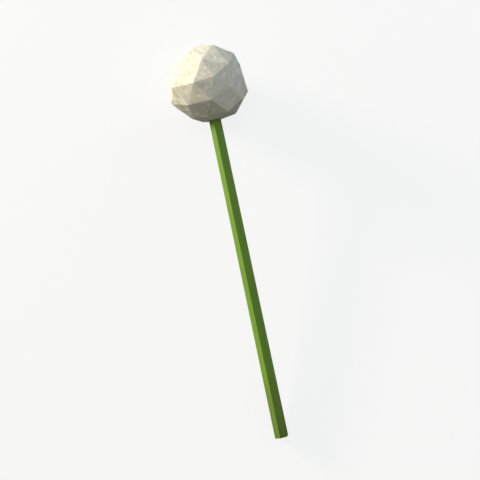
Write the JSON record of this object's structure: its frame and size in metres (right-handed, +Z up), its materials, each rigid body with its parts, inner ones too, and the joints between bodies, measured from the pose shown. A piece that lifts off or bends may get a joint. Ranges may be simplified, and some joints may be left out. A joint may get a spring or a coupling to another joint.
{
  "type": "dandelion seed head",
  "caption": "Picked dandelion seed head lying down: an uneven faceted ball of pappus tufts round its seeds, on a straight, tapering, hollow six-sided scape.",
  "frame": {"origin": "on the surface that it lies on, under the middle of its bounding box", "axes": "+Y along the scape towards the head, +Z up, +X across"},
  "size_m": [0.0442, 0.2266, 0.0426],
  "materials": {
    "scape": "fresh green stalk, faintly ribbed along its length, satin, turning olive brown towards the cut end",
    "seed": "dry brown ribbed seeds on a pale pitted receptacle, matt",
    "bract": "dull green wilted bracts with paler edges, matt",
    "pappus": "cream white silky bristles over a soft felted ball, matt with a faint sheen"
  },
  "bodies": {
    "root": {"scape": "scape", "receptacle": "seed", "bracts": "bract", "pappus": "pappus"}
  },
  "joints": []
}
